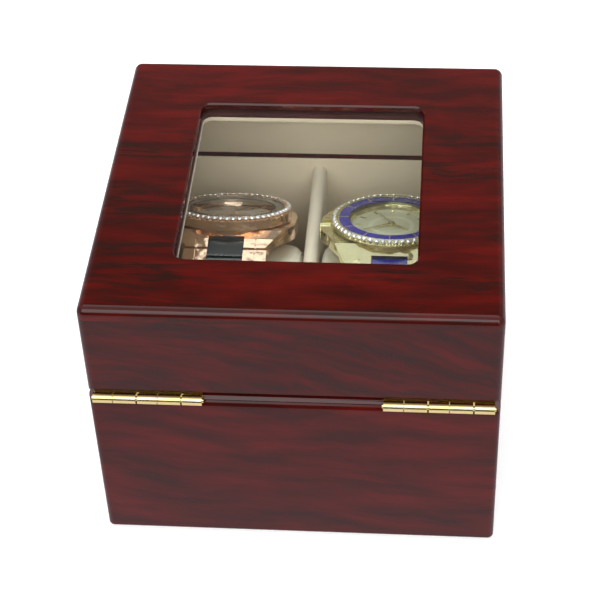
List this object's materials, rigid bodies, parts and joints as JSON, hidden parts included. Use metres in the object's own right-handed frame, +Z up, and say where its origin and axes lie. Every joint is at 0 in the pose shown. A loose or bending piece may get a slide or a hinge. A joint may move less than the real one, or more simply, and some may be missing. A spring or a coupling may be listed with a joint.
{
  "type": "watch display box",
  "caption": "Lacquered wooden display box for two wrist watches, with a hinged glazed lid, lined compartments and cushions that carry bracelet watches.",
  "frame": {"origin": "middle of the underside, on the surface that the box stands on", "axes": "+Z up, +Y toward the hinges at the rear, +X to the right seen from the front, when the viewer faces the opening lid"},
  "size_m": [0.13, 0.1335, 0.1],
  "materials": {
    "lacquered_wood": "high-gloss rosewood lacquer",
    "black_felt": "felt",
    "beige_lining": "suede-like velour",
    "window_glass": "clear",
    "hinge_brass": "polished",
    "cream_cushion": "velour",
    "steel": "brushed",
    "gold_plate": "polished plate",
    "watch_crystal": "clear",
    "clear_stones": "cut",
    "black_ceramic": "polished",
    "blue_ceramic": "polished",
    "taupe_dial": "satin",
    "champagne_dial": "satin",
    "rose_gold_plate": "polished plate"
  },
  "bodies": {
    "base": {"base_front": "lacquered_wood", "base_rear": "lacquered_wood", "base_left": "lacquered_wood", "base_right": "lacquered_wood", "base_bottom": "lacquered_wood", "base_felt": "black_felt", "base_side_linings": "beige_lining", "base_end_linings": "beige_lining", "base_floor_lining": "beige_lining", "divider": "beige_lining", "base_hinge_leaves": "hinge_brass", "hinge_pins": "hinge_brass", "base_hinge_screws": "hinge_brass", "rose_cushion": "cream_cushion", "gold_cushion": "cream_cushion", "hour_markers": "gold_plate", "link_pins": "steel", "rose_case": "rose_gold_plate", "rose_case_back": "rose_gold_plate", "rose_bezel": "rose_gold_plate", "rose_bezel_ring": "black_ceramic", "rose_stones": "clear_stones", "rose_crystal": "watch_crystal", "rose_dial": "taupe_dial", "rose_movement": "steel", "rose_side_links": "rose_gold_plate", "rose_centre_links": "black_ceramic", "rose_clasp": "rose_gold_plate", "gold_case": "gold_plate", "gold_case_back": "gold_plate", "gold_bezel": "gold_plate", "gold_bezel_ring": "blue_ceramic", "gold_stones": "clear_stones", "gold_crystal": "watch_crystal", "gold_dial": "champagne_dial", "gold_movement": "steel", "gold_side_links": "gold_plate", "gold_centre_links": "blue_ceramic", "gold_clasp": "gold_plate"},
    "lid": {"lid_top": "lacquered_wood", "lid_front": "lacquered_wood", "lid_rear": "lacquered_wood", "lid_left": "lacquered_wood", "lid_right": "lacquered_wood", "lid_side_linings": "beige_lining", "lid_end_linings": "beige_lining", "lid_ceiling": "beige_lining", "glass_pane": "window_glass", "lid_hinge_leaves": "hinge_brass", "lid_hinge_screws": "hinge_brass"},
    "rose_hour_hand": {"rose_hour_hand": "rose_gold_plate"},
    "rose_minute_hand": {"rose_minute_hand": "rose_gold_plate"},
    "rose_second_hand": {"rose_second_hand": "rose_gold_plate"},
    "rose_stem": {"rose_stem": "steel"},
    "rose_crown": {"rose_crown": "rose_gold_plate"},
    "gold_hour_hand": {"gold_hour_hand": "gold_plate"},
    "gold_minute_hand": {"gold_minute_hand": "gold_plate"},
    "gold_second_hand": {"gold_second_hand": "gold_plate"},
    "gold_stem": {"gold_stem": "steel"},
    "gold_crown": {"gold_crown": "gold_plate"}
  },
  "joints": [
    {"name": "lid_hinge", "type": "hinge", "parent": "base", "child": "lid", "pos_m": [0, 0.0663, 0.0633], "axis": [-1, 0, 0], "range_deg": [0, 100]},
    {"name": "rose_minute_turn", "type": "hinge", "parent": "base", "child": "rose_minute_hand", "pos_m": [0.0273, -0.02032, 0.06636], "axis": [0, 0.454, -0.891], "continuous": true},
    {"name": "rose_hour_turn", "type": "hinge", "parent": "base", "child": "rose_hour_hand", "pos_m": [0.0273, -0.02032, 0.06636], "axis": [0, 0.454, -0.891], "continuous": true},
    {"name": "rose_second_turn", "type": "hinge", "parent": "base", "child": "rose_second_hand", "pos_m": [0.0273, -0.02032, 0.06636], "axis": [0, 0.454, -0.891], "continuous": true},
    {"name": "rose_crown_pull", "type": "slide", "parent": "base", "child": "rose_stem", "axis": [1, 0, 0], "range_m": [0, 0.0007]},
    {"name": "rose_crown_turn", "type": "hinge", "parent": "rose_stem", "child": "rose_crown", "pos_m": [0.0493, -0.01877, 0.06333], "axis": [1, 0, 0], "continuous": true},
    {"name": "gold_minute_turn", "type": "hinge", "parent": "base", "child": "gold_minute_hand", "pos_m": [-0.028, -0.01538, 0.06742], "axis": [0, 0.2756, -0.9613], "continuous": true},
    {"name": "gold_hour_turn", "type": "hinge", "parent": "base", "child": "gold_hour_hand", "pos_m": [-0.028, -0.01538, 0.06742], "axis": [0, 0.2756, -0.9613], "continuous": true},
    {"name": "gold_second_turn", "type": "hinge", "parent": "base", "child": "gold_second_hand", "pos_m": [-0.028, -0.01538, 0.06742], "axis": [0, 0.2756, -0.9613], "continuous": true},
    {"name": "gold_crown_pull", "type": "slide", "parent": "base", "child": "gold_stem", "axis": [1, 0, 0], "range_m": [0, 0.0007]},
    {"name": "gold_crown_turn", "type": "hinge", "parent": "gold_stem", "child": "gold_crown", "pos_m": [-0.006, -0.01486, 0.06559], "axis": [1, 0, 0], "continuous": true}
  ],
  "couplings": [
    {"joint": "rose_minute_turn", "follows": "rose_second_turn", "ratio": 0.016667},
    {"joint": "rose_hour_turn", "follows": "rose_second_turn", "ratio": 0.0013889},
    {"joint": "gold_minute_turn", "follows": "gold_second_turn", "ratio": 0.016667},
    {"joint": "gold_hour_turn", "follows": "gold_second_turn", "ratio": 0.0013889}
  ]
}
